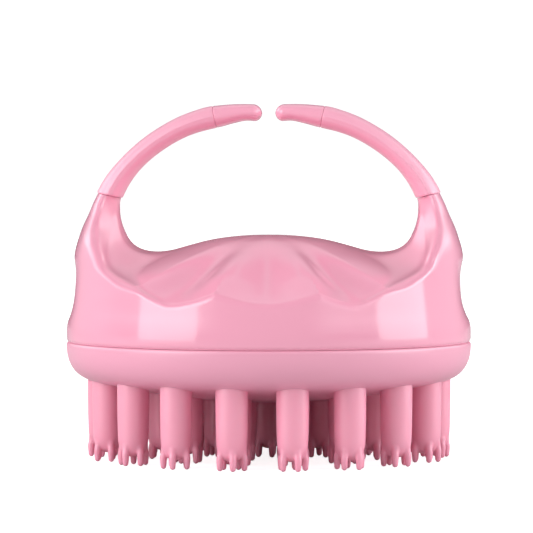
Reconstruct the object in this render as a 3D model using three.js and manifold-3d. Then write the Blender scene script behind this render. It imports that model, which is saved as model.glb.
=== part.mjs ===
// Scalp massager brush: a palm-held round brush head with two springy arms
// that close over the back of the hand.
//
// Millimetres, +Z up. Origin: centre of the brush on the plane of the bristle
// tips. X runs from arm to arm, -Y is the front.

import * as THREE from 'three';
import { mergeVertices } from 'three/addons/utils/BufferGeometryUtils.js';
import Module from 'manifold-3d';

// ---------------------------------------------------------------- dimensions

const GAP = 0.3;                 // clearance between neighbouring pieces

// shell
const RIM_R = 50;                // outer radius of the round head
const SEAM_Z = 28.7;             // parting line between shell and brush pad
const CROWN_Z = 55;              // highest point of the shell's back
const SHELL_WALL = 2.4;
const SHELL_SEGMENTS = 48;
// half profile of the shell's back, radius and height
const SHELL_PROFILE = [
  [50, SEAM_Z + GAP / 2], [50, 31.4], [49.3, 35.6], [48.5, 39.0], [47.0, 41.0],
  [42, 43.5], [36, 46.4], [30, 48.9], [22.5, 51.6], [14.6, 53.7], [7, 54.8],
];
// dished finger grips round the shoulder, degrees from the front
const GRIP_ANGLES = [0, 25.5, -25.5, 180, 154.5, -154.5];
const GRIP_WIDTH = 17;
const GRIP_LENGTH = 24;
const GRIP_DEPTH = 1.7;

// horns: height, outer x, inner x, half depth in Y
const HORN_STATIONS = [
  [33.0, 49.6, 30.0, 28.5],
  [37.0, 48.4, 29.0, 28.2],
  [41.0, 47.4, 28.6, 27.2],
  [45.0, 47.3, 29.5, 25.0],
  [49.0, 48.0, 30.8, 20.5],
  [52.0, 47.6, 32.8, 16.5],
  [54.6, 46.8, 34.8, 13.6],
  [57.4, 45.8, 36.3, 11.3],
  [60.2, 44.7, 36.9, 9.7],
  [62.6, 43.8, 36.85, 8.7],
];
// round wall that bounds the horns: radius, height
const HORN_WALL = [
  [50, 28.85], [50, 31.4], [49.3, 35.6], [48.5, 39.0], [48.1, 44.0], [48.1, 49.5],
  [47.5, 52.4], [46.7, 54.9], [45.8, 57.4], [44.8, 60.2], [43.8, 62.6], [42.75, 65.2], [41, 67.5],
];
// arms: polar outline about (0, ARM_CENTRE_Z); angle, outer and inner radius
const ARM_CENTRE_Z = 50;
const ARM_OUTLINE = [
  [20.4, 45.3, 39.1],
  [26, 44.75, 38.95],
  [32, 43.9, 38.55],
  [38, 43.1, 37.85],
  [44, 42.35, 37.1],
  [50, 41.6, 36.45],
  [56, 40.95, 35.75],
  [62, 40.25, 34.95],
  [67, 39.65, 34.35],
  [71, 39.0, 33.95],
  [76, 38.45, 33.8],
  [81, 37.85, 33.75],
  [84.5, 37.55, 33.2],
  [87.2, 37.1, 33.4],
];
const HORN_SEAM_DEG = 20.45;     // where the sleeve meets the horn
const TIP_SEAM_DEG = 68.6;       // where the end cap meets the sleeve
const TIP_END_DEG = 87.2;
const SEAM_SLANT_DEG = 0.58;     // seams lean this much across the arm
const ARM_HALF_DEPTH = [8.0, 7.0, 5.8, 4.2];   // at horn, middle, tip seam, end
const SLEEVE_STEP = 0.25;        // sleeve stands proud of the horn
const CORE_HALF = [1.0, 4.0];    // springy core, half thickness and half depth
const CORE_START = [39.9, 57.5];   // root of the core inside the horn
const CORE_END_DEG = 74;

// brush pad
const PAD_TOP_Z = SEAM_Z - GAP / 2;
const PAD_CENTRE_Z = 13.8;       // lowest point of the domed underside
const PAD_DOME_R = 178;          // radius of the domed underside
const PAD_SKIN = 3.0;
const PAD_LIP = 2.0;             // in-turned lip, thickness
const PAD_LIP_R = 36.5;          // radius of the opening inside the lip
const PAD_CAVITY_R = 44.6;

// clamp plate and its screws
const PLATE_R = 44.2;
const PLATE_T = 2.0;
const PLATE_Z = PAD_TOP_Z - PAD_LIP - GAP - PLATE_T;
const BOSS_PITCH_R = 30.5;
const BOSS_R = 4.4;
const SCREW_R = 1.3;
const SCREW_HEAD_R = 2.9;
const SCREW_HEAD_T = 1.6;
const SCREW_LENGTH = 13;
const SCREW_ANGLES = [45, 135, 225, 315];

// bristles
const RINGS = [
  { name: 'bristle_outer', count: 18, radius: 41.1, start: 10 },
  { name: 'bristle_middle', count: 12, radius: 26.7, start: 15 },
  { name: 'bristle_inner', count: 6, radius: 12.4, start: 30 },
  { name: 'bristle_centre', count: 1, radius: 0, start: 0 },
];
const BRISTLE_R = 3.8;
const BRISTLE_END_R = 3.55;      // slight taper at the lower end
const BRISTLE_SIDES = 10;
const ROOT_BALL_R = 2.4;         // rounded root that each bristle rocks on
const COLUMN_END_Z = 3.4;        // underside of the column, above the tips
const FINGERS = 5;
const FINGER_RING_R = 2.55;
const FINGER_HALF = 0.75;        // half width of a finger at its root
const FINGER_END_HALF = 0.55;
const FINGER_TURN = 17.4;        // first finger, degrees round the column

// ----------------------------------------------------------------- materials

const gloss = new THREE.MeshStandardMaterial({ color: 0xf3a0b8, roughness: 0.12, metalness: 0 });
const satin = new THREE.MeshStandardMaterial({ color: 0xf2a3b9, roughness: 0.45, metalness: 0 });
const sleeve = new THREE.MeshStandardMaterial({ color: 0xf1a0b6, roughness: 0.4, metalness: 0 });
const plateMaterial = new THREE.MeshStandardMaterial({ color: 0xe8e4e4, roughness: 0.6, metalness: 0 });
const springMaterial = new THREE.MeshStandardMaterial({ color: 0x9a9ca0, roughness: 0.35, metalness: 1 });
const steel = new THREE.MeshStandardMaterial({ color: 0x8c8e92, roughness: 0.4, metalness: 1 });

// ------------------------------------------------------------------- helpers

const wasm = await Module();
wasm.setup();
const rad = (deg) => (deg * Math.PI) / 180;

function closed(geometry) {
  const g = geometry.clone();
  g.deleteAttribute('normal');
  g.deleteAttribute('uv');
  return mergeVertices(g, 1e-4);
}

function toSolid(geometry) {
  const g = closed(geometry);
  return new wasm.Manifold(new wasm.Mesh({
    numProp: 3,
    vertProperties: Float32Array.from(g.attributes.position.array),
    triVerts: Uint32Array.from(g.index.array),
  }));
}

function toGeometry(solid) {
  const mesh = solid.getMesh();
  const g = new THREE.BufferGeometry();
  g.setAttribute('position', new THREE.BufferAttribute(Float32Array.from(mesh.vertProperties), 3));
  g.setIndex(new THREE.BufferAttribute(Uint32Array.from(mesh.triVerts), 1));
  g.computeVertexNormals();
  return g;
}

// body of revolution about Z; the profile runs from the axis or closes on itself
function turned(profile, segments) {
  const g = new THREE.LatheGeometry(profile.map(([r, z]) => new THREE.Vector2(r, z)), segments);
  g.rotateX(Math.PI / 2);
  return facingOut(g);
}

function facingOut(geometry) {
  const g = closed(geometry);
  const p = g.attributes.position;
  const index = g.index.array;
  let volume = 0;
  const a = new THREE.Vector3(), b = new THREE.Vector3(), c = new THREE.Vector3();
  for (let i = 0; i < index.length; i += 3) {
    a.fromBufferAttribute(p, index[i]);
    b.fromBufferAttribute(p, index[i + 1]);
    c.fromBufferAttribute(p, index[i + 2]);
    volume += a.dot(b.cross(c));
  }
  if (volume < 0) {
    for (let i = 0; i < index.length; i += 3) {
      [index[i + 1], index[i + 2]] = [index[i + 2], index[i + 1]];
    }
  }
  // faces that shrink to nothing on the axis are dropped
  const kept = [];
  for (let i = 0; i < index.length; i += 3) {
    const [i0, i1, i2] = [index[i], index[i + 1], index[i + 2]];
    if (i0 !== i1 && i1 !== i2 && i2 !== i0) kept.push(i0, i1, i2);
  }
  g.setIndex(kept);
  g.computeVertexNormals();
  return g;
}

// a cylinder bent and swollen along a path: place(t, u, v) puts the point that
// lies at height t (0 to 1) and at u, v across the unit section
function swept(sides, steps, place, turn = 0) {
  const g = new THREE.CylinderGeometry(1, 1, 1, sides, steps);
  g.rotateY(turn);
  const p = g.attributes.position;
  const v = new THREE.Vector3();
  for (let i = 0; i < p.count; i++) {
    v.fromBufferAttribute(p, i);
    const q = place(v.y + 0.5, v.x, v.z);
    p.setXYZ(i, q[0], q[1], q[2]);
  }
  return facingOut(g);
}

function lookUp(table, x, column) {
  if (x <= table[0][0]) return table[0][column];
  for (let i = 1; i < table.length; i++) {
    if (x <= table[i][0]) {
      const f = (x - table[i - 1][0]) / (table[i][0] - table[i - 1][0]);
      return table[i - 1][column] + f * (table[i][column] - table[i - 1][column]);
    }
  }
  return table[table.length - 1][column];
}

const object = new THREE.Group();
function add(name, geometry, material) {
  const mesh = new THREE.Mesh(geometry, material);
  mesh.name = name;
  object.add(mesh);
  return mesh;
}

// ---------------------------------------------------------------- arm section

const armHalfDepth = (deg) => lookUp([
  [HORN_SEAM_DEG, ARM_HALF_DEPTH[0]], [45, ARM_HALF_DEPTH[1]],
  [TIP_SEAM_DEG, ARM_HALF_DEPTH[2]], [TIP_END_DEG, ARM_HALF_DEPTH[3]],
], deg, 1);

// point of the arm at an angle, u across its thickness (+1 outer face), v in depth
function armPoint(side, deg, u, v, grow = 0, halfSection = null) {
  const outer = lookUp(ARM_OUTLINE, deg, 1);
  const inner = lookUp(ARM_OUTLINE, deg, 2);
  const half = halfSection ? halfSection[0] : (outer - inner) / 2 + grow;
  const depth = halfSection ? halfSection[1] : armHalfDepth(deg) + grow;
  const r = (outer + inner) / 2 + u * half;
  const a = rad(deg - SEAM_SLANT_DEG * u);
  return [side * r * Math.cos(a), v * depth, ARM_CENTRE_Z + r * Math.sin(a)];
}

// ----------------------------------------------------------------- top shell

function hornSolid(side) {
  // the last step lands on the sleeve's seam
  const rows = HORN_STATIONS.map(([z, xo, xi, d]) => ({
    outer: [xo, z], inner: [xi, z], depth: d,
  }));
  const top = HORN_SEAM_DEG - 0.22;
  const o = armPoint(1, top, 1, 0), i = armPoint(1, top, -1, 0);
  rows.push({ outer: [o[0], o[2]], inner: [i[0], i[2]], depth: ARM_HALF_DEPTH[0] });
  const steps = rows.length - 1;
  return toSolid(swept(14, steps, (t, u, v) => {
    const row = rows[Math.round(t * steps)];
    const x = row.outer[0] * (1 + u) / 2 + row.inner[0] * (1 - u) / 2;
    const z = row.outer[1] * (1 + u) / 2 + row.inner[1] * (1 - u) / 2;
    return [side * x, v * row.depth, z];
  }));
}

// springy core: from its root in the horn up the middle of the arm
function coreGeometry(side, grow, startExtra = 0) {
  const steps = 12;
  const startAt = HORN_SEAM_DEG;
  const foot = armPoint(1, startAt, 0, 0);
  return swept(8, steps + 1, (t, u, v) => {
    const k = Math.round(t * (steps + 1));
    if (k === 0) {
      const half = CORE_HALF[0] + grow;
      return [side * (CORE_START[0] + u * half), v * (CORE_HALF[1] + grow), CORE_START[1] - startExtra];
    }
    const deg = startAt + (CORE_END_DEG + startExtra * 1.6 - startAt) * (k - 1) / steps;
    const q = armPoint(side, deg, u, v, 0, [CORE_HALF[0] + grow, CORE_HALF[1] + grow]);
    return q;
  }, Math.PI / 8);
}

function topShell() {
  const outside = [[0, SHELL_PROFILE[0][1]], ...SHELL_PROFILE, [0, CROWN_Z]];
  let shell = toSolid(turned(outside, SHELL_SEGMENTS));
  // the horns stay inside the round wall
  const wall = toSolid(turned([[0, SHELL_PROFILE[0][1]], ...HORN_WALL, [0, 67.5]], SHELL_SEGMENTS));
  for (const side of [-1, 1]) shell = shell.add(hornSolid(side).intersect(wall));

  // dished finger grips
  for (const deg of GRIP_ANGLES) {
    const g = new THREE.SphereGeometry(1, 12, 8);
    const radius = (GRIP_WIDTH * GRIP_WIDTH / 4 + GRIP_DEPTH * GRIP_DEPTH) / (2 * GRIP_DEPTH);
    g.scale(radius * (GRIP_LENGTH / GRIP_WIDTH), radius, radius);
    // pole along the shell's normal at the middle of the shoulder
    const slope = rad(30);
    g.rotateX(rad(7));
    g.rotateY(slope);
    const lift = radius - GRIP_DEPTH;
    g.translate(39.5 + lift * Math.sin(slope), 0, 44.8 + lift * Math.cos(slope));
    g.rotateZ(rad(deg - 90));
    shell = shell.subtract(toSolid(g));
  }

  // hollow inside, open at the bottom
  const inner = SHELL_PROFILE.map(([r, z], i) => (i === 0 ? [r - SHELL_WALL, z - 1]
    : [Math.max(r - SHELL_WALL * (r > 40 ? 1.05 : 0.55), 0), z - SHELL_WALL * (r > 48 ? 0.2 : 0.95)]));
  const inside = [[0, inner[0][1]], ...inner, [0, CROWN_Z - SHELL_WALL]];
  shell = shell.subtract(toSolid(turned(inside, 32)));

  // screw bosses with pilot holes
  for (const deg of SCREW_ANGLES) {
    const [x, y] = [BOSS_PITCH_R * Math.cos(rad(deg)), BOSS_PITCH_R * Math.sin(rad(deg))];
    const low = PLATE_Z + PLATE_T + GAP;
    const high = 45.6;
    const boss = new THREE.CylinderGeometry(BOSS_R, BOSS_R, high - low, 14);
    boss.rotateX(Math.PI / 2).translate(x, y, (high + low) / 2);
    const hole = new THREE.CylinderGeometry(SCREW_R + GAP, SCREW_R + GAP, 14, 10);
    hole.rotateX(Math.PI / 2).translate(x, y, low + 6);
    shell = shell.add(toSolid(boss)).subtract(toSolid(hole));
  }

  // sockets for the arm cores
  for (const side of [-1, 1]) shell = shell.subtract(toSolid(coreGeometry(side, GAP, 0.6)));
  return toGeometry(shell);
}

add('top_shell', topShell(), gloss);

// ----------------------------------------------------------------- brush pad

const padUnderside = (r) => PAD_CENTRE_Z + (r * r) / (2 * PAD_DOME_R);

function brushPad() {
  const out = [0, 14, 28, 41].map((r) => [r, padUnderside(r)]);
  out.push([45.2, 19.4], [47.3, 20.8], [49.2, 23.4], [50, 26.2], [50, PAD_TOP_Z]);
  const back = [[PAD_LIP_R, PAD_TOP_Z], [PAD_LIP_R, PAD_TOP_Z - PAD_LIP],
    [PAD_CAVITY_R, PAD_TOP_Z - PAD_LIP], [PAD_CAVITY_R, 23.0]];
  for (const r of [40, 20, 0]) back.push([r, padUnderside(r) + PAD_SKIN]);
  return turned([...out, ...back], SHELL_SEGMENTS);
}
add('brush_pad', brushPad(), satin);

// --------------------------------------------------- clamp plate and screws

function clampPlate() {
  let plate = toSolid(turned([[0, PLATE_Z], [PLATE_R, PLATE_Z], [PLATE_R, PLATE_Z + PLATE_T],
    [0, PLATE_Z + PLATE_T]], 36));
  for (const deg of SCREW_ANGLES) {
    const hole = new THREE.CylinderGeometry(SCREW_R + GAP, SCREW_R + GAP, 8, 12);
    hole.rotateX(Math.PI / 2);
    hole.translate(BOSS_PITCH_R * Math.cos(rad(deg)), BOSS_PITCH_R * Math.sin(rad(deg)), PLATE_Z + PLATE_T / 2);
    plate = plate.subtract(toSolid(hole));
  }
  return toGeometry(plate);
}
add('clamp_plate', clampPlate(), plateMaterial);

SCREW_ANGLES.forEach((deg, i) => {
  const head = PLATE_Z - GAP;
  const tip = head + SCREW_LENGTH;
  const g = turned([
    [0, head - SCREW_HEAD_T], [SCREW_HEAD_R * 0.8, head - SCREW_HEAD_T], [SCREW_HEAD_R, head - SCREW_HEAD_T * 0.5],
    [SCREW_HEAD_R, head], [SCREW_R, head], [SCREW_R, tip - 1], [0, tip],
  ], 10);
  const mesh = add(`plate_screw_${i + 1}`, g, steel);
  mesh.position.set(BOSS_PITCH_R * Math.cos(rad(deg)), BOSS_PITCH_R * Math.sin(rad(deg)), 0);
});

// ---------------------------------------------------------------------- arms

for (const [word, side] of [['left', -1], ['right', 1]]) {
  add(`arm_core_${word}`, coreGeometry(side, 0), springMaterial);

  const sleeveSteps = 9;
  const a0 = HORN_SEAM_DEG + 0.22, a1 = TIP_SEAM_DEG - 0.25;
  const sleeveSolid = toSolid(swept(14, sleeveSteps, (t, u, v) => armPoint(
    side, a0 + (a1 - a0) * t, u, v, SLEEVE_STEP * (1 - t))));
  const bore = toSolid(coreGeometry(side, GAP, 0.6));
  add(`grip_sleeve_${word}`, toGeometry(sleeveSolid.subtract(bore)), sleeve);

  const capSteps = 7;
  const c0 = TIP_SEAM_DEG + 0.25, c1 = TIP_END_DEG;
  const shrink = [1, 1, 1, 1, 1, 1, 0.86, 0.45];
  const capSolid = toSolid(swept(14, capSteps, (t, u, v) => {
    const k = Math.round(t * capSteps);
    const at = [0, 0.22, 0.42, 0.6, 0.76, 0.88, 0.96, 1][k];
    return armPoint(side, c0 + (c1 - c0) * at, u * shrink[k], v * shrink[k]);
  }));
  add(`tip_cap_${word}`, toGeometry(capSolid.subtract(bore)), gloss);
}

// ------------------------------------------------------------------ bristles

// One soft column on a rounded root, with five small fingers round its end.
function bristleGeometry(pivotZ) {
  const profile = [
    [0, COLUMN_END_Z], [BRISTLE_END_R, COLUMN_END_Z], [BRISTLE_R, pivotZ - 0.3],
    [ROOT_BALL_R * 0.94, pivotZ + ROOT_BALL_R * 0.34], [0, pivotZ + ROOT_BALL_R],
  ];
  let solid = toSolid(turned(profile, BRISTLE_SIDES));
  for (let i = 0; i < FINGERS; i++) {
    const high = COLUMN_END_Z + 0.2;
    const finger = new THREE.CylinderGeometry(
      FINGER_HALF * Math.SQRT2, FINGER_END_HALF * Math.SQRT2, high, 4);
    finger.rotateY(Math.PI / 4).rotateX(Math.PI / 2).translate(FINGER_RING_R, 0, high / 2);
    finger.rotateZ(rad(FINGER_TURN + (360 / FINGERS) * i));
    solid = solid.add(toSolid(finger));
  }
  return toGeometry(solid);
}

for (const ring of RINGS) {
  const pivotZ = padUnderside(ring.radius) - GAP - ROOT_BALL_R - (ring.radius > 35 ? 0.1 : 0);
  const shared = bristleGeometry(pivotZ);
  for (let i = 0; i < ring.count; i++) {
    const deg = ring.start + (360 / ring.count) * i - 90;
    const name = ring.count === 1 ? ring.name : `${ring.name}_${String(i + 1).padStart(2, '0')}`;
    const mesh = add(name, shared, satin);
    mesh.position.set(ring.radius * Math.cos(rad(deg)), ring.radius * Math.sin(rad(deg)), 0);
    mesh.rotation.z = rad(deg);
  }
}

export default object;
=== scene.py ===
import bpy, bmesh, math
import numpy as np
from mathutils import Vector, Matrix


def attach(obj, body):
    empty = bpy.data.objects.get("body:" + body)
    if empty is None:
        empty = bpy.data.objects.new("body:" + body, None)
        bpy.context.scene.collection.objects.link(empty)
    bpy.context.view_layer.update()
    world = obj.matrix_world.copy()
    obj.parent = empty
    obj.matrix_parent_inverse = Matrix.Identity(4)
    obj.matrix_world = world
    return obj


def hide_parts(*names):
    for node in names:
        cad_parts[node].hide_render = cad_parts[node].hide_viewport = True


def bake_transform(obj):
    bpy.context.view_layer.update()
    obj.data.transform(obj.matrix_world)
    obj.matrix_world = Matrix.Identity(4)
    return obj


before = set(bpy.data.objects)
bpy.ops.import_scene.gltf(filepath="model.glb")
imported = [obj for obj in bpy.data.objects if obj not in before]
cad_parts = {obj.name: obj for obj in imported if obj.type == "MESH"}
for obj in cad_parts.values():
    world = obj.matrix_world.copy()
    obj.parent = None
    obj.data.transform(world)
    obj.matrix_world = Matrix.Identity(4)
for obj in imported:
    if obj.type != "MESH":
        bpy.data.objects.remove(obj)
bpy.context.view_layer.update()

MM = 0.001

# ---------------------------------------------------------------- dimensions (mm)
SEAM_Z = 28.7
ARM_CENTRE_Z = 50.0
HORN_SEAM = 20.45
TIP_SEAM = 68.6
TIP_END = 87.25
SEAM_TILT = np.array([(20.4, 0.58), (45, -0.1), (68.6, -0.77), (80, -0.4), (87.2, 0.0)])


def tilt(deg):
    return float(np.interp(deg, SEAM_TILT[:, 0], SEAM_TILT[:, 1]))
ARM = np.array([
    (20.4, 45.15, 39.05), (26, 44.6, 38.85), (32, 43.75, 38.4), (38, 42.95, 37.7),
    (44, 42.2, 36.95), (50, 41.45, 36.25), (56, 40.8, 35.55), (62, 40.1, 34.75),
    (67, 39.55, 34.1), (71, 38.9, 33.75), (76, 38.25, 33.65), (81, 37.68, 33.6),
    (84.5, 37.36, 33.2), (87.2, 37.15, 33.1)])
DEPTH = np.array([(20.4, 8.0), (45, 7.0), (68.6, 5.8), (87.2, 4.4)])
PAD_Z0, PAD_R = 13.8, 178.0
RINGS = [("bristle_outer", 18, 41.1, 10), ("bristle_middle", 12, 26.7, 15),
         ("bristle_inner", 6, 12.4, 30), ("bristle_centre", 1, 0.0, 0)]


# ---------------------------------------------------------------- small maths
def curve(points, n=3000):
    """Smooth curve through points (x, y), read by position."""
    p = np.array(points, float)
    x, y = p[:, 0], p[:, 1]
    h = np.diff(x)
    s = np.diff(y) / h
    m = np.empty_like(x)
    m[0], m[-1] = s[0], s[-1]
    m[1:-1] = (s[:-1] * h[1:] + s[1:] * h[:-1]) / (h[1:] + h[:-1])
    q = np.linspace(x[0], x[-1], n)
    i = np.clip(np.searchsorted(x, q, side="right") - 1, 0, len(h) - 1)
    t = (q - x[i]) / h[i]
    v = ((2 * t**3 - 3 * t**2 + 1) * y[i] + (t**3 - 2 * t**2 + t) * h[i] * m[i]
         + (-2 * t**3 + 3 * t**2) * y[i + 1] + (t**3 - t**2) * h[i] * m[i + 1])
    return lambda a: np.interp(a, q, v)


def smin(a, b, k):
    h = np.maximum(k - np.abs(a - b), 0) / k
    return np.minimum(a, b) - h * h * k * 0.25


def smax(a, b, k):
    return -smin(-a, -b, k)


def step(a, lo, hi):
    t = np.clip((a - lo) / (hi - lo), 0, 1)
    return t * t * (3 - 2 * t)


# ---------------------------------------------------------------- meshing
def surface_net(f, xs, ys, zs, rounds=6):
    """Quads on f = 0, with every corner moved onto the surface. f is negative inside."""
    X, Y, Z = np.meshgrid(xs, ys, zs, indexing="ij")
    F = f(X, Y, Z)
    inside = F < 0
    nx, ny, nz = F.shape
    corner = [(a, b, c) for a in (0, 1) for b in (0, 1) for c in (0, 1)]
    count = np.zeros((nx - 1, ny - 1, nz - 1), int)
    for a, b, c in corner:
        count += inside[a:nx - 1 + a, b:ny - 1 + b, c:nz - 1 + c]
    active = (count > 0) & (count < 8)
    ids = -np.ones(active.shape, int)
    ids[active] = np.arange(active.sum())
    at = np.argwhere(active)
    total = np.zeros((len(at), 3))
    hits = np.zeros(len(at))
    grid = (np.asarray(xs), np.asarray(ys), np.asarray(zs))
    for i, ca in enumerate(corner):
        for cb in corner[i + 1:]:
            if sum(abs(p - q) for p, q in zip(ca, cb)) != 1:
                continue
            ia, ib = at + ca, at + cb
            fa, fb = F[tuple(ia.T)], F[tuple(ib.T)]
            cross = (fa < 0) != (fb < 0)
            t = np.where(cross, fa / np.where(cross, fa - fb, 1), 0)
            pa = np.stack([grid[d][ia[:, d]] for d in range(3)], 1)
            pb = np.stack([grid[d][ib[:, d]] for d in range(3)], 1)
            total += (pa + (pb - pa) * t[:, None]) * cross[:, None]
            hits += cross
    P = total / hits[:, None]
    quads = []
    for d in range(3):
        lo = [slice(None)] * 3
        hi = [slice(None)] * 3
        lo[d], hi[d] = slice(0, -1), slice(1, None)
        cross = inside[tuple(lo)] != inside[tuple(hi)]
        e = np.argwhere(cross)
        u, v = (d + 1) % 3, (d + 2) % 3
        size = np.array(active.shape)
        ok = (e[:, u] > 0) & (e[:, v] > 0) & (e[:, u] < size[u]) & (e[:, v] < size[v]) & (e[:, d] < size[d])
        e = e[ok]
        du, dv = np.eye(3, dtype=int)[u], np.eye(3, dtype=int)[v]
        q = np.stack([ids[tuple((e - du - dv).T)], ids[tuple((e - dv).T)],
                      ids[tuple(e.T)], ids[tuple((e - du).T)]], 1)
        solid_first = inside[tuple(e.T)]
        q[~solid_first] = q[~solid_first][:, ::-1]
        quads.append(q)
    Q = np.concatenate(quads)
    for _ in range(rounds):
        P, N = onto(f, P)
    return P, Q, N


def gradient(f, P, h=0.02):
    g = np.empty_like(P)
    for d in range(3):
        o = np.zeros(3)
        o[d] = h
        a, b = P + o, P - o
        g[:, d] = (f(a[:, 0], a[:, 1], a[:, 2]) - f(b[:, 0], b[:, 1], b[:, 2])) / (2 * h)
    return g


def onto(f, P):
    g = gradient(f, P)
    v = f(P[:, 0], P[:, 1], P[:, 2])
    n2 = np.maximum((g * g).sum(1), 1e-4)
    move = g * (v / n2)[:, None]
    long = np.linalg.norm(move, axis=1)
    move *= np.minimum(1, 0.35 / np.maximum(long, 1e-9))[:, None]
    return P - move, g / np.sqrt(n2)[:, None]


def make_object(name, P, faces, smooth=True):
    mesh = bpy.data.meshes.new(name)
    mesh.from_pydata([tuple(p) for p in (np.asarray(P) * MM)], [], [list(map(int, q)) for q in faces])
    mesh.update()
    obj = bpy.data.objects.new(name, mesh)
    bpy.context.scene.collection.objects.link(obj)
    if smooth:
        mesh.polygons.foreach_set("use_smooth", [True] * len(mesh.polygons))
    return obj


def fix_normals(obj):
    bm = bmesh.new()
    bm.from_mesh(obj.data)
    bmesh.ops.recalc_face_normals(bm, faces=bm.faces)
    if bm.calc_volume(signed=True) < 0:
        bmesh.ops.reverse_faces(bm, faces=bm.faces)
    bm.to_mesh(obj.data)
    bm.free()


# ---------------------------------------------------------------- top shell
crown = curve([(0, 55.0), (7, 54.75), (14.6, 53.7), (19.3, 52.5), (23.6, 51.25), (30, 49.3), (35, 47.55),
               (40, 45.6), (45, 43.4), (48, 41.95), (51, 40.3), (54, 38.5)])
LOW_WALL = [(26, 49.60), (28.85, 49.60), (29.05, 49.76), (29.5, 49.90), (30.2, 49.93)]
wall_plain = curve(LOW_WALL + [(31.4, 49.93), (34, 49.70), (37, 49.3),
                    (40, 48.95), (44, 48.5), (48, 48.15), (50, 47.95), (52.4, 47.5), (54.9, 46.7), (57.4, 45.8),
                    (59.9, 44.8), (62.3, 43.85), (64.8, 42.65), (67.5, 41.3)])
wall_side = curve(LOW_WALL + [(31.4, 49.93), (32.6, 49.85), (33.9, 49.5),
                   (35.1, 48.9), (36.4, 48.35), (37.6, 47.9), (38.8, 47.55), (40.5, 47.3), (43, 47.2), (46, 47.35),
                   (47.6, 47.65), (49.4, 48.0), (50.6, 47.9), (52.4, 47.5), (54.9, 46.7), (57.4, 45.8),
                   (59.9, 44.8), (62.3, 43.85), (64.8, 42.65), (67.5, 41.3)])
# horn: inner face at the middle, then the ridge line along its front and back
horn_inner = curve([(26, 20.0), (40, 25.0), (42.5, 28.8), (45, 32.6), (47.5, 35.3), (50, 36.5), (56, 36.9), (61, 37.0),
                    (63.6, 36.75), (64.8, 36.3), (66.1, 35.6), (67.5, 34.9)])
ridge_x = curve([(26, 22.0), (40, 27.0), (42.5, 30.8), (44.6, 34.2), (47.1, 37.7), (50.9, 39.6), (54.5, 40.5), (57, 41.0),
                 (59.6, 41.1), (61.9, 40.8), (63.8, 40.3), (65.4, 39.5), (67.5, 38.4)])
ridge_y = curve([(26, 60.0), (40, 43.0), (42.5, 38.0), (44.6, 34.1), (47.1, 29.9), (50.9, 24.6), (54.5, 18.3), (57, 14.2),
                 (59.6, 11.4), (61.9, 9.8), (63.8, 8.8), (65.4, 8.25), (67.5, 8.0)])
dish_depth = curve([(0, 0), (15, 0.0), (20, 0.25), (25, 0.9), (30, 1.75), (36, 2.5), (41, 2.75), (45, 2.6), (49, 2.3), (54, 2.0)])
GRIPS = [(-26.6, 13.6), (1.7, 14.7), (27.6, 11.2)]      # middle and half width of each dish, degrees


def shell_field(x, y, z):
    r = np.hypot(x, y)
    ax, ay = np.abs(x), np.abs(y)
    ang = np.degrees(np.arctan2(x, ay + 1e-9))             # 0 at front or back, 90 at the arms
    # wall, with the dished notch under each arm
    off = np.degrees(np.arctan2(ay, ax + 1e-9))
    notch = np.exp(-(off / 12.5) ** 2)
    rw = wall_plain(z) * (1 - notch) + wall_side(z) * notch
    # crown with the dished finger grips; the ridges between them are soft inside and sharpen to the edge
    crisp = 0.75 * step(r, 38.0, 48.0)
    dish = 0.0
    for middle, half in GRIPS:
        t = np.clip(np.abs(ang - middle) / half, 0, 1.0)
        soft = 0.5 + 0.5 * np.cos(np.pi * t)
        dish = np.maximum(dish, soft + crisp * (1 - t * t - soft))
    top = crown(r) - dish_depth(r) * dish
    slope = 0.013 * r
    d_top = (z - top) / np.sqrt(1 + slope * slope)
    # horn: a lens with a ridge at the front and back, flaring down into the wall
    xi, xe, ye = horn_inner(z), ridge_x(z), ridge_y(z)
    t = ay / ye
    xo = wall_side(z)
    bow_in = xi + (xe - xi) * t * t
    steep_in = 2 * (xe - xi) * t / ye
    d_in = (bow_in - ax) / np.sqrt(1 + steep_in * steep_in)
    bow_out = xo - (xo - xe) * t * t
    steep_out = 2 * (xo - xe) * t / ye
    d_out = (ax - bow_out) / np.sqrt(1 + steep_out * steep_out) - 0.75 - 6.0 * (1 - step(z, 50.0, 62.0))
    d_horn = smax(d_in, d_out, 2.0)
    inner = smin(d_top, d_horn, 15.0 - 10.5 * step(t, 0.35, 0.9))
    shoulder = 1.1 + 2.9 * step(np.abs(ang), 35.0, 47.0) * (1 - step(z, 54.0, 63.0)) + 0.9 * step(z, 54.0, 63.0)
    return smax(inner, r - rw, shoulder)


def seam_frame(side, deg, lift=0.0):
    """Centre and directions of the arm's cross-section at an angle: along, across (outer), depth."""
    ro = np.interp(deg, ARM[:, 0], ARM[:, 1])
    ri = np.interp(deg, ARM[:, 0], ARM[:, 2])
    ao, ai = math.radians(deg - tilt(deg)), math.radians(deg + tilt(deg))
    O = Vector((side * ro * math.cos(ao), 0, ARM_CENTRE_Z + ro * math.sin(ao)))
    I = Vector((side * ri * math.cos(ai), 0, ARM_CENTRE_Z + ri * math.sin(ai)))
    across = (O - I).normalized()
    along = Vector((-across.z * side, 0, across.x * side))
    return (O + I) / 2 + along * lift, along, across


def ordered_loop(edges):
    """Vertices of one closed chain of edges, in order."""
    near = {}
    for e in edges:
        a, b = e.verts
        near.setdefault(a, []).append(b)
        near.setdefault(b, []).append(a)
    first = edges[0].verts[0]
    chain, last, now = [first], None, near[first][0]
    while now is not first:
        chain.append(now)
        nxt = [v for v in near[now] if v is not chain[-2]]
        now = nxt[0]
    return chain


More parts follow.
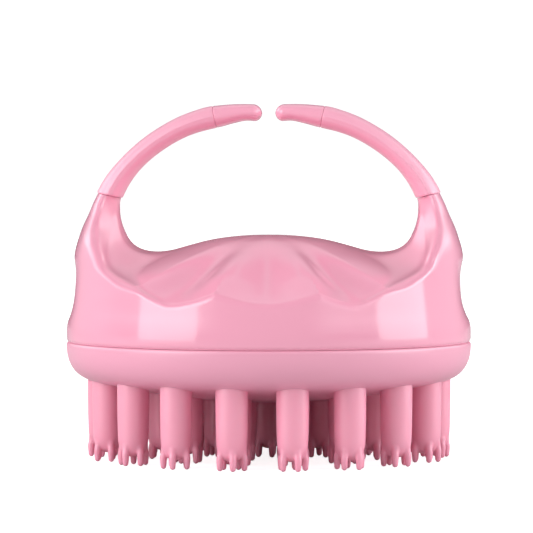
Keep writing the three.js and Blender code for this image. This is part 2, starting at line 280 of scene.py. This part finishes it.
def bore(bm, loop, rings):
    """Closes a loop with a flat face that has a blind hole in its middle: each ring is (centre, across, half sizes), in mm."""
    c0, across = Vector(rings[0][0]) * MM, rings[0][1]
    turns = [math.atan2(v.co.y - c0.y, (v.co - c0).dot(across)) for v in loop]
    rows = [loop]
    for centre, across, half in rings:
        c = Vector(centre) * MM
        rows.append([bm.verts.new(c + across * (half[0] * MM * math.cos(a)) + Vector((0, half[1] * MM * math.sin(a), 0)))
                     for a in turns])
    n = len(loop)
    flat = []
    for a, b in zip(rows, rows[1:]):
        for i in range(n):
            j = (i + 1) % n
            flat.append(bm.faces.new((a[i], a[j], b[j], b[i])))
    flat.append(bm.faces.new(rows[-1]))
    return flat


def core_section(side, s):
    """Centre and outward direction of the arm's core, s mm above (or below) the horn's seam."""
    base, along, across = seam_frame(side, HORN_SEAM)
    if s <= 0:
        return base + along * s, across
    deg = HORN_SEAM + s * 57.3 / 41.5
    c, al, ac = seam_frame(side, deg)
    k = min(1, s / 4.0)
    ac = (across * (1 - k) + Vector((side * math.cos(math.radians(deg)), 0, math.sin(math.radians(deg)))) * k).normalized()
    return c, ac


def build_shell():
    h = 0.62
    xs = np.arange(-51.2, 51.2 + h, h)
    zs = np.arange(27.4, 67.4, h)
    P, Q, N = surface_net(shell_field, xs, xs, zs)
    obj = make_object("top_shell", P, Q)
    bm = bmesh.new()
    bm.from_mesh(obj.data)

    def cut(co, no):
        r = bmesh.ops.bisect_plane(bm, geom=bm.verts[:] + bm.edges[:] + bm.faces[:], dist=1e-7,
                                   plane_co=Vector(co) * MM, plane_no=no, clear_outer=True)
        return [e for e in r["geom_cut"] if isinstance(e, bmesh.types.BMEdge)]

    flats = []
    for side in (-1, 1):
        centre, along, across = seam_frame(side, HORN_SEAM, -0.02)
        # only this side's horn is cut
        faces = [f for f in bm.faces if f.calc_center_median().x * side > 0.025 and f.calc_center_median().z > 0.058]
        edges = list({e for f in faces for e in f.edges})
        verts = list({v for f in faces for v in f.verts})
        r = bmesh.ops.bisect_plane(bm, geom=verts + edges + faces, dist=1e-7, plane_co=centre * MM,
                                   plane_no=along, clear_outer=True)
        rim = [e for e in bm.edges if len(e.link_faces) == 1 and e.verts[0].co.x * side > 0
               and e.verts[0].co.z > 0.058]
        rows = [(centre if k == 0 else core_section(side, -k)[0], across, (1.35, 4.4)) for k in (0, 2, 5, 7)]
        flats += bore(bm, ordered_loop(rim), rows)
    cut((0, 0, SEAM_Z + 0.03), Vector((0, 0, -1)))
    rim = [e for e in bm.edges if len(e.link_faces) == 1]
    loop = ordered_loop(rim)
    # inner wall: rings that follow the outer rim up to a low dome
    inner = [(47.5, SEAM_Z + 0.03), (47.2, 33), (46.0, 36.2), (42, 38.6), (34, 42.3), (24, 46.2), (12, 49.6), (5, 50.7)]
    previous = loop
    for k, (r, z) in enumerate(inner):
        ring = []
        for v in loop:
            a = math.atan2(v.co.y, v.co.x)
            ring.append(bm.verts.new((r * MM * math.cos(a), r * MM * math.sin(a), z * MM)))
        for i in range(len(loop)):
            j = (i + 1) % len(loop)
            f = bm.faces.new((previous[i], previous[j], ring[j], ring[i]))
            f.smooth = k > 0
            if k == 0:
                flats.append(f)
        previous = ring
    bm.faces.new(previous)
    for f in flats:
        f.smooth = False
    bmesh.ops.recalc_face_normals(bm, faces=bm.faces)
    if bm.calc_volume(signed=True) < 0:
        bmesh.ops.reverse_faces(bm, faces=bm.faces)
    bm.normal_update()
    bm.to_mesh(obj.data)
    bm.free()
    mesh = obj.data
    # exact normals of the outer surface
    n = len(mesh.vertices)
    co = np.empty(n * 3)
    mesh.vertices.foreach_get("co", co)
    co = co.reshape(-1, 3) / MM
    value = np.abs(shell_field(co[:, 0], co[:, 1], co[:, 2]))
    g = gradient(shell_field, co, 0.06)
    g /= np.maximum(np.linalg.norm(g, axis=1), 1e-9)[:, None]
    exact = value < 0.03
    loops = len(mesh.loops)
    lv = np.empty(loops, int)
    mesh.loops.foreach_get("vertex_index", lv)
    ln = np.array([c.vector for c in mesh.corner_normals], float)
    smooth = np.zeros(loops, bool)
    for p in mesh.polygons:
        if p.use_smooth:
            smooth[p.loop_start:p.loop_start + p.loop_total] = True
    use = smooth & exact[lv]
    use &= (ln * g[lv]).sum(1) > 0.5
    ln[use] = g[lv[use]]
    mesh.normals_split_custom_set([tuple(v) for v in ln])
    return obj


# ---------------------------------------------------------------- swept arms
def arm_ring(side, deg, sides, grow=0.0, scale=(1.0, 1.0), ridge=0.0, extra=0.0):
    ro = float(arm_outer(deg))
    ri = float(arm_inner(deg))
    dep = float(arm_depth(deg)) + grow
    half = (ro - ri) / 2 + grow
    mid = (ro + ri) / 2
    ring = []
    for i in range(sides):
        a = 2 * math.pi * i / sides
        u, v = math.cos(a), math.sin(a)
        # a little fuller than an ellipse
        n = 2.25
        q = (abs(u) ** n + abs(v) ** n) ** (-1 / n)
        u, v = u * q, v * q
        bump = ridge * math.exp(-((u * half) / 0.24) ** 2) * (1 if abs(v) > 0.5 else 0)
        uu = u * scale[0]
        vv = v * scale[1]
        r = mid + uu * half
        ang = math.radians(deg - tilt(deg) * uu)
        y = vv * dep + (bump if v > 0 else -bump)
        ring.append((side * r * math.cos(ang), y, ARM_CENTRE_Z + r * math.sin(ang)))
    return ring


arm_outer = curve(ARM[:, :2])
arm_inner = curve(ARM[:, [0, 2]])
arm_depth = curve(DEPTH)


def skin(rings, cap_start=True, cap_end=True):
    P = [p for r in rings for p in r]
    n = len(rings[0])
    F = []
    for k in range(len(rings) - 1):
        for i in range(n):
            j = (i + 1) % n
            F.append((k * n + i, k * n + j, (k + 1) * n + j, (k + 1) * n + i))
    if cap_start:
        F.append(tuple(range(n))[::-1])
    if cap_end:
        F.append(tuple(range((len(rings) - 1) * n, len(rings) * n)))
    return P, F


def build_sleeve(side, word):
    sides = 96
    a0, a1 = HORN_SEAM + 0.02, TIP_SEAM - 0.02
    per = 57.3 / 42.0                     # degrees in one mm of arc
    stations = []
    edge = 0.45
    for k in range(6):                    # rounded lower lip
        t = k / 5 * math.pi / 2
        stations.append((a0 + edge * (1 - math.cos(t)) * per, -edge * (1 - math.sin(t))))
    for t in np.linspace(0, 1, 72)[1:-1]:
        stations.append((a0 + edge * per + (a1 - a0 - 2 * 0.3 * per) * t, 0))
    for k in range(5):
        t = k / 4 * math.pi / 2
        stations.append((a1 - 0.3 * per * (1 - math.sin(t)), -0.3 * (1 - math.cos(t))))
    rings = []
    for deg, inset in stations:
        f = (deg - a0) / (a1 - a0)
        grow = 0.10 * (1 - step(f, 0.0, 0.5)) + inset
        fade = min(1, f / 0.02, (1 - f) / 0.02)
        rings.append(arm_ring(side, deg, sides, grow=grow, ridge=0.17 * max(fade, 0)))
    P, F = skin(rings, cap_start=False, cap_end=True)
    obj = make_object("grip_sleeve_" + word, P, F)
    bm = bmesh.new()
    bm.from_mesh(obj.data)
    rim = [e for e in bm.edges if len(e.link_faces) == 1]
    centre, along, across = seam_frame(side, HORN_SEAM + 0.02)
    rows = [(centre, across, (1.35, 4.4))] + [(*core_section(side, k), (1.35, 4.4)) for k in (1.5, 3, 4.5, 6, 7.5, 9, 10.5)]
    flats = bore(bm, ordered_loop(rim), rows)
    for f in flats:
        f.smooth = False
    for f in bm.faces:
        if len(f.verts) > 4:
            f.smooth = False
    bm.to_mesh(obj.data)
    bm.free()
    fix_normals(obj)
    return obj


def build_tip(side, word):
    sides = 80
    a0, a1 = TIP_SEAM + 0.02, TIP_END
    per = 57.3 / 36.0
    stations = []
    for k in range(5):
        t = k / 4 * math.pi / 2
        stations.append((a0 + 0.3 * per * (1 - math.cos(t)), (1, 1), -0.3 * (1 - math.sin(t))))
    end = 2.05                            # length of the rounded end, mm
    for t in np.linspace(0, 1, 36)[1:]:
        stations.append((a0 + 0.3 * per + (a1 - end * per - a0 - 0.3 * per) * t, (1, 1), 0))
    for k in range(1, 15):
        t = k / 15 * math.pi / 2
        s = math.cos(t)
        stations.append((a1 - end * per * (1 - math.sin(t)), (s, 1 - (1 - s) * 0.72 if s > 0.02 else s), 0))
    rings = [arm_ring(side, d, sides, grow=g, scale=s) for d, s, g in stations]
    # close the end with a few shrinking rings
    last = np.array(rings[-1])
    mid = last.mean(0)
    tip = np.array(arm_ring(side, a1, sides, scale=(0.01, 0.01)))
    for s in (0.8, 0.55, 0.3, 0.12):
        ring = mid + (last - mid) * s
        ring += (tip.mean(0) - mid) * (1 - s * s) * 0.5
        rings.append([tuple(p) for p in ring])
    P, F = skin(rings)
    obj = make_object("tip_cap_" + word, P, F)
    obj.data.polygons[len(F) - 2].use_smooth = False
    fix_normals(obj)
    return obj


def build_core(side, word):
    sides = 24
    rings = []
    for s in list(np.linspace(-6.2, 0, 8)[:-1]) + list(np.linspace(0, 10.0, 14)):
        c, across = core_section(side, float(s))
        rings.append([tuple(c + across * (1.0 * math.cos(2 * math.pi * i / sides))
                            + Vector((0, 4.0 * math.sin(2 * math.pi * i / sides), 0))) for i in range(sides)])
    P, F = skin(rings)
    obj = make_object("arm_core_" + word, P, F)
    obj.data.polygons[len(F) - 1].use_smooth = False
    obj.data.polygons[len(F) - 2].use_smooth = False
    fix_normals(obj)
    return obj


# ---------------------------------------------------------------- brush pad
def under(r):
    return PAD_Z0 + r * r / (2 * PAD_R)


def build_pad():
    prof = [(r, under(r)) for r in np.linspace(0, 42, 30)]
    side = [(43.4, under(43.4) - 0.02), (44.6, 19.42), (45.6, 19.85), (46.5, 20.35), (47.3, 20.95), (48.0, 21.65), (48.55, 22.4),
            (49.0, 23.2), (49.4, 24.15), (49.66, 25.1), (49.82, 26.0), (49.91, 26.8), (49.95, 27.5), (49.95, 27.95),
            (49.9, 28.25), (49.76, 28.47), (49.6, 28.6), (49.4, 28.66)]
    back = [(44, 28.66), (36.5, 28.66), (36.5, 26.56), (44.6, 26.56), (44.6, 23.2), (40, 21.6), (28, 19.1), (14, 17.4)]
    pts = prof + side + back
    n = 256
    P, F, rows = [], [], []
    for r, z in pts:
        if r < 1e-6:
            rows.append([len(P)])
            P.append((0, 0, z))
            continue
        rows.append(list(range(len(P), len(P) + n)))
        P += [(r * math.cos(2 * math.pi * i / n), r * math.sin(2 * math.pi * i / n), z) for i in range(n)]
    rows.append([len(P)])
    P.append((0, 0, 16.9))
    for a, b in zip(rows, rows[1:]):
        for i in range(n):
            j = (i + 1) % n
            if len(a) == 1:
                F.append((a[0], b[i], b[j]))
            elif len(b) == 1:
                F.append((a[i], b[0], a[j]))
            else:
                F.append((a[i], b[i], b[j], a[j]))
    obj = make_object("brush_pad", P, F)
    fix_normals(obj)
    mark_sharp(obj, 50)
    return obj


def mark_sharp(obj, degrees):
    bm = bmesh.new()
    bm.from_mesh(obj.data)
    limit = math.radians(degrees)
    for e in bm.edges:
        if len(e.link_faces) == 2 and e.calc_face_angle(0) > limit:
            e.smooth = False
    bm.to_mesh(obj.data)
    bm.free()


# ---------------------------------------------------------------- bristles
FINGER_TURN = 17.4
column = curve([(2.5, 3.45), (5, 3.58), (8, 3.72), (12, 3.8), (22, 3.86)])


def bristle_field(x, y, z):
    r = np.hypot(x, y)
    d_side = r - column(z)
    # softly domed lower end
    d_end = 2.1 + 0.09 * r * r - z
    body = smax(d_side, d_end, 3.0)
    fingers = 1e3
    for i in range(5):
        a = math.radians(FINGER_TURN + 72 * i)
        ux, uy = math.cos(a), math.sin(a)
        along = x * ux + y * uy
        over = -x * uy + y * ux
        zz = np.clip(z, 0.70, 4.6)
        lean = 3.04 - 0.28 * step(zz, 2.6, 4.6)
        rad = 0.70 + 0.09 * np.clip(zz - 0.70, 0, 1.6)
        d = np.sqrt((along - lean) ** 2 + over ** 2 + (z - zz) ** 2) - rad
        fingers = np.minimum(fingers, d)
    return smin(body, fingers, 0.5)


def build_bristle_mesh(height):
    h = 0.27
    xs = np.arange(-4.7, 4.7 + h, h)
    zs = np.concatenate([np.arange(-0.5, 8.2, h), np.arange(8.4, height + 3.2, 0.8)])
    mesh = bpy.data.meshes.new("bristle")
    # the grid is shifted a little until every edge has exactly two faces
    for shift in (0.0, 0.05, 0.09, 0.13, 0.17, 0.21, 0.03, 0.11):
        P, Q, N = surface_net(bristle_field, xs + shift - 0.1, xs + shift * 0.7 - 0.1, zs + shift * 0.4)
        mesh.clear_geometry()
        mesh.from_pydata([tuple(p) for p in P * MM], [], [list(map(int, q)) for q in Q])
        bm = bmesh.new()
        bm.from_mesh(mesh)
        if all(len(e.link_faces) == 2 for e in bm.edges if max(v.co.z for v in e.verts) < (height + 0.5) * MM):
            break
        bm.free()
    else:
        raise RuntimeError("no grid gives a clean bristle")
    bmesh.ops.bisect_plane(bm, geom=bm.verts[:] + bm.edges[:] + bm.faces[:], dist=1e-7,
                           plane_co=(0, 0, height * MM), plane_no=(0, 0, 1), clear_outer=True)
    rim = [e for e in bm.edges if len(e.link_faces) == 1]
    cap = bm.faces.new(ordered_loop(rim))
    for f in bm.faces:
        f.smooth = True
    cap.smooth = False
    bmesh.ops.recalc_face_normals(bm, faces=bm.faces)
    if bm.calc_volume(signed=True) < 0:
        bmesh.ops.reverse_faces(bm, faces=bm.faces)
    for e in cap.edges:
        e.smooth = False
    bm.to_mesh(mesh)
    bm.free()
    return mesh


# ---------------------------------------------------------------- materials
def principled(name):
    m = bpy.data.materials.new(name)
    m.use_nodes = True
    nt = m.node_tree
    return m, nt, nt.nodes["Principled BSDF"]


def plastic(name, tone_a, tone_b, rough, rough_spread, bump, bump_scale, sss=0.0, tone_scale=18.0, ior=1.5, soften=0.0):
    m, nt, bsdf = principled(name)
    N, L = nt.nodes, nt.links
    coord = N.new("ShaderNodeTexCoord")
    soft = N.new("ShaderNodeTexNoise")
    soft.inputs["Scale"].default_value = tone_scale
    soft.inputs["Detail"].default_value = 3.0
    soft.inputs["Roughness"].default_value = 0.5
    L.new(coord.outputs["Object"], soft.inputs["Vector"])
    ramp = N.new("ShaderNodeValToRGB")
    ramp.color_ramp.elements[0].position = 0.30
    ramp.color_ramp.elements[0].color = (*tone_a, 1)
    ramp.color_ramp.elements[1].position = 0.70
    ramp.color_ramp.elements[1].color = (*tone_b, 1)
    L.new(soft.outputs["Fac"], ramp.inputs["Fac"])
    L.new(ramp.outputs["Color"], bsdf.inputs["Base Color"])
    fine = N.new("ShaderNodeTexNoise")
    fine.inputs["Scale"].default_value = bump_scale
    fine.inputs["Detail"].default_value = 4.0
    L.new(coord.outputs["Object"], fine.inputs["Vector"])
    spread = N.new("ShaderNodeMapRange")
    spread.inputs["From Min"].default_value = 0.3
    spread.inputs["From Max"].default_value = 0.7
    spread.inputs["To Min"].default_value = rough - rough_spread
    spread.inputs["To Max"].default_value = rough + rough_spread
    L.new(fine.outputs["Fac"], spread.inputs["Value"])
    rough_out = spread.outputs["Result"]
    if soften:
        # the finish is softer on the crown and horns than on the polished wall
        flat = N.new("ShaderNodeVectorMath")
        flat.operation = "MULTIPLY"
        flat.inputs[1].default_value = (1, 1, 0)
        L.new(coord.outputs["Object"], flat.inputs[0])
        dist = N.new("ShaderNodeVectorMath")
        dist.operation = "LENGTH"
        L.new(flat.outputs["Vector"], dist.inputs[0])
        zone = N.new("ShaderNodeMapRange")
        zone.interpolation_type = "SMOOTHSTEP"
        for key, v in (("From Min", 0.0435), ("From Max", 0.0470), ("To Min", soften), ("To Max", 0.0)):
            zone.inputs[key].default_value = v
        L.new(dist.outputs["Value"], zone.inputs["Value"])
        add = N.new("ShaderNodeMath")
        add.operation = "ADD"
        L.new(rough_out, add.inputs[0])
        L.new(zone.outputs["Result"], add.inputs[1])
        rough_out = add.outputs["Value"]
    L.new(rough_out, bsdf.inputs["Roughness"])
    b = N.new("ShaderNodeBump")
    b.inputs["Strength"].default_value = 1.0
    b.inputs["Distance"].default_value = bump
    L.new(fine.outputs["Fac"], b.inputs["Height"])
    L.new(b.outputs["Normal"], bsdf.inputs["Normal"])
    bsdf.inputs["IOR"].default_value = ior
    bsdf.inputs["Subsurface Weight"].default_value = sss
    bsdf.inputs["Subsurface Radius"].default_value = (0.0020, 0.0010, 0.0012)
    bsdf.inputs["Subsurface Scale"].default_value = 1.0
    return m


def srgb(r, g, b):
    return tuple((c / 255 / 12.92) if c / 255 <= 0.04045 else ((c / 255 + 0.055) / 1.055) ** 2.4 for c in (r, g, b))


GLOSS = plastic("gloss_abs", (0.890, 0.372, 0.508), (0.905, 0.388, 0.526), 0.12, 0.012, 0.000003, 260.0, ior=1.64, soften=0.06)
TIP = plastic("gloss_tip", (0.93, 0.400, 0.540), (0.945, 0.417, 0.558), 0.20, 0.02, 0.000005, 420.0, ior=1.62)
SATIN = plastic("satin_silicone", (0.905, 0.350, 0.482), (0.925, 0.370, 0.504), 0.40, 0.05, 0.000010, 900.0, sss=0.25, ior=1.80)
PADM = plastic("satin_pad", (0.845, 0.366, 0.500), (0.865, 0.384, 0.518), 0.34, 0.04, 0.000008, 900.0, ior=1.60)
SLEEVE = plastic("satin_sleeve", (0.93, 0.408, 0.548), (0.945, 0.426, 0.566), 0.34, 0.04, 0.000008, 800.0, ior=1.66)
PLATE = plastic("plain_plate", srgb(214, 206, 206), srgb(222, 214, 214), 0.55, 0.06, 0.000010, 500.0)
STEEL = plastic("plain_steel", (0.42, 0.42, 0.43), (0.50, 0.50, 0.51), 0.30, 0.06, 0.000004, 700.0)
STEEL.node_tree.nodes["Principled BSDF"].inputs["Metallic"].default_value = 1.0


def dress(obj, material):
    obj.data.materials.clear()
    obj.data.materials.append(material)


# ---------------------------------------------------------------- build and attach
shell = build_shell()
dress(shell, GLOSS)
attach(shell, "root")
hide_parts("top_shell")

pad = build_pad()
dress(pad, PADM)
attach(pad, "root")
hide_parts("brush_pad")

for word, side in (("left", -1), ("right", 1)):
    sleeve = build_sleeve(side, word)
    dress(sleeve, SLEEVE)
    c, along, across = seam_frame(side, HORN_SEAM)
    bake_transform(sleeve)
    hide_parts("grip_sleeve_" + word)
    tip = build_tip(side, word)
    dress(tip, TIP)
    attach(tip, word + "_arm")
    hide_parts("tip_cap_" + word)
    core = build_core(side, word)
    dress(core, STEEL)
    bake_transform(core)
    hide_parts("arm_core_" + word)

for name, count, radius, start in RINGS:
    top = under(radius) + (1.0 if radius > 35 else 0.6)
    shared = build_bristle_mesh(top)
    for i in range(count):
        node = name if count == 1 else f"{name}_{i + 1:02d}"
        a = math.radians(start + 360 / count * i - 90)
        x, y = radius * math.cos(a), radius * math.sin(a)
        mesh = shared.copy()
        mesh.transform(Matrix.Translation((x * MM, y * MM, 0)) @ Matrix.Rotation(a, 4, "Z"))
        obj = bpy.data.objects.new(node, mesh)
        bpy.context.scene.collection.objects.link(obj)
        dress(obj, SATIN)
        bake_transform(obj)
        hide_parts(node)

for n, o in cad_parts.items():
    mat = PLATE if n == "clamp_plate" else STEEL if n.startswith("plate_screw") else None
    if mat:
        o.data.materials.clear()
        o.data.materials.append(mat)

# ---------------------------------------------------------------- stage
def stage_material():
    m, nt, bsdf = principled("stage_white")
    bsdf.inputs["Base Color"].default_value = (0.66, 0.66, 0.66, 1)
    bsdf.inputs["Roughness"].default_value = 0.9
    bsdf.inputs["Specular IOR Level"].default_value = 0.1
    # the backdrop is lifted to white without lighting the brush from below
    glow = nt.nodes.new("ShaderNodeEmission")
    glow.inputs["Color"].default_value = (1, 1, 1, 1)
    path = nt.nodes.new("ShaderNodeLightPath")
    lift = nt.nodes.new("ShaderNodeMath")
    lift.operation = "MULTIPLY"
    lift.inputs[1].default_value = 0.86
    nt.links.new(path.outputs["Is Camera Ray"], lift.inputs[0])
    nt.links.new(lift.outputs["Value"], glow.inputs["Strength"])
    both = nt.nodes.new("ShaderNodeAddShader")
    nt.links.new(bsdf.outputs["BSDF"], both.inputs[0])
    nt.links.new(glow.outputs["Emission"], both.inputs[1])
    nt.links.new(both.outputs["Shader"], nt.nodes["Material Output"].inputs["Surface"])
    return m


def build_stage():
    n, reach = 64, 4.0
    verts = [(reach * math.cos(2 * math.pi * i / n), reach * math.sin(2 * math.pi * i / n), 0) for i in range(n)]
    mesh = bpy.data.meshes.new("stage_floor")
    mesh.from_pydata(verts, [], [list(range(n))])
    obj = bpy.data.objects.new("stage_floor", mesh)
    bpy.context.scene.collection.objects.link(obj)
    mesh.materials.append(stage_material())
    return obj


build_stage()


def softbox(name, azimuth, elevation, distance, wide, high, radiance, colour=(1, 1, 1), aim_z=0.040):
    """A soft light seen from the brush at an azimuth (0 = front, + = right) and elevation, wide by high degrees."""
    a, e = math.radians(azimuth), math.radians(elevation)
    loc = Vector((distance * math.cos(e) * math.sin(a), -distance * math.cos(e) * math.cos(a),
                  aim_z + distance * math.sin(e)))
    w = 2 * distance * math.tan(math.radians(wide / 2))
    h = 2 * distance * math.tan(math.radians(high / 2))
    light = bpy.data.lights.new(name, "AREA")
    light.shape = "RECTANGLE"
    light.size, light.size_y = w, h
    light.energy = radiance * math.pi * w * h
    light.color = colour
    obj = bpy.data.objects.new(name, light)
    bpy.context.scene.collection.objects.link(obj)
    obj.location = loc
    obj.rotation_euler = (Vector((0, 0, aim_z)) - loc).to_track_quat("-Z", "Y").to_euler()
    return obj


softbox("softbox_left", -56, 17, 0.80, 37, 42, 3.1)
softbox("softbox_right", 82.8, 15, 0.80, 36, 36, 3.2)
softbox("softbox_high_left", -43, 50, 0.80, 22, 16, 2.6)
softbox("softbox_high_right", 56, 52, 0.80, 18, 14, 2.9)

world = bpy.data.worlds.new("studio")
world.use_nodes = True
wn = world.node_tree
room = wn.nodes["Background"]
room.inputs["Color"].default_value = (1, 1, 1, 1)
where = wn.nodes.new("ShaderNodeTexCoord")
split = wn.nodes.new("ShaderNodeSeparateXYZ")
wn.links.new(where.outputs["Generated"], split.inputs["Vector"])


def world_math(op, a, b=None):
    n = wn.nodes.new("ShaderNodeMath")
    n.operation = op
    for k, v in enumerate((a, b)):
        if v is None:
            continue
        if isinstance(v, (int, float)):
            n.inputs[k].default_value = v
        else:
            wn.links.new(v, n.inputs[k])
    return n.outputs["Value"]


def world_range(v, lo, hi, to_lo, to_hi):
    n = wn.nodes.new("ShaderNodeMapRange")
    n.interpolation_type = "SMOOTHSTEP"
    for key, val in (("From Min", lo), ("From Max", hi), ("To Min", to_lo), ("To Max", to_hi)):
        n.inputs[key].default_value = val
    wn.links.new(v, n.inputs["Value"])
    return n.outputs["Result"]


wx, wy, wz = (split.outputs[k] for k in "XYZ")
# bright walls behind to the left and right, a paler one high behind, and a little from the front
flank = world_math("MULTIPLY", world_range(world_math("ABSOLUTE", wx), 0.35, 0.70, 0.0, 1.0), world_range(wy, -0.05, 0.35, 0.0, 0.46))
# tall windows high at both sides
side = world_math("MULTIPLY", world_range(world_math("ABSOLUTE", wx), 0.38, 0.66, 0.0, 1.0), world_range(wz, 0.08, 0.24, 0.0, 1.6))
side = world_math("MULTIPLY", side, world_range(wz, 0.50, 0.70, 1.0, 0.0))
front = world_range(wy, -0.98, -0.70, 0.34, 0.0)
high = world_math("MULTIPLY", world_range(wy, 0.30, 0.60, 0.0, 1.0), world_range(wz, 0.38, 0.60, 0.0, 0.62))
total = world_math("ADD", world_math("ADD", flank, front), world_math("ADD", world_math("ADD", high, side), world_range(wy, 0.45, 0.85, 0.17, 0.10)))
wn.links.new(total, room.inputs["Strength"])
white = wn.nodes.new("ShaderNodeBackground")
white.inputs["Color"].default_value = (1, 1, 1, 1)
white.inputs["Strength"].default_value = 1.05
ray = wn.nodes.new("ShaderNodeLightPath")
pick = wn.nodes.new("ShaderNodeMixShader")
wn.links.new(ray.outputs["Is Camera Ray"], pick.inputs["Fac"])
wn.links.new(room.outputs["Background"], pick.inputs[1])
wn.links.new(white.outputs["Background"], pick.inputs[2])
wn.links.new(pick.outputs["Shader"], wn.nodes["World Output"].inputs["Surface"])
scene = bpy.context.scene
scene.world = world
scene.view_settings.view_transform = "Standard"
scene.view_settings.look = "None"

# ---------------------------------------------------------------- camera
F_PX, W_PX = 3137.0, 533.0
cam = bpy.data.cameras.new("camera")
cam.sensor_width = 36.0
cam.lens = F_PX / W_PX * 36.0
cam_obj = bpy.data.objects.new("camera", cam)
scene.collection.objects.link(cam_obj)
YAW = math.radians(2.2)
DIST = 0.776
loc = Vector((DIST * math.sin(YAW), -DIST * math.cos(YAW), 0.0656))
aim = Vector((-0.00056 * math.cos(YAW), -0.00056 * math.sin(YAW), 0.0471))
cam_obj.location = loc
cam_obj.rotation_euler = (aim - loc).to_track_quat("-Z", "Y").to_euler()
cam.clip_start, cam.clip_end = 0.01, 20
scene.camera = cam_obj
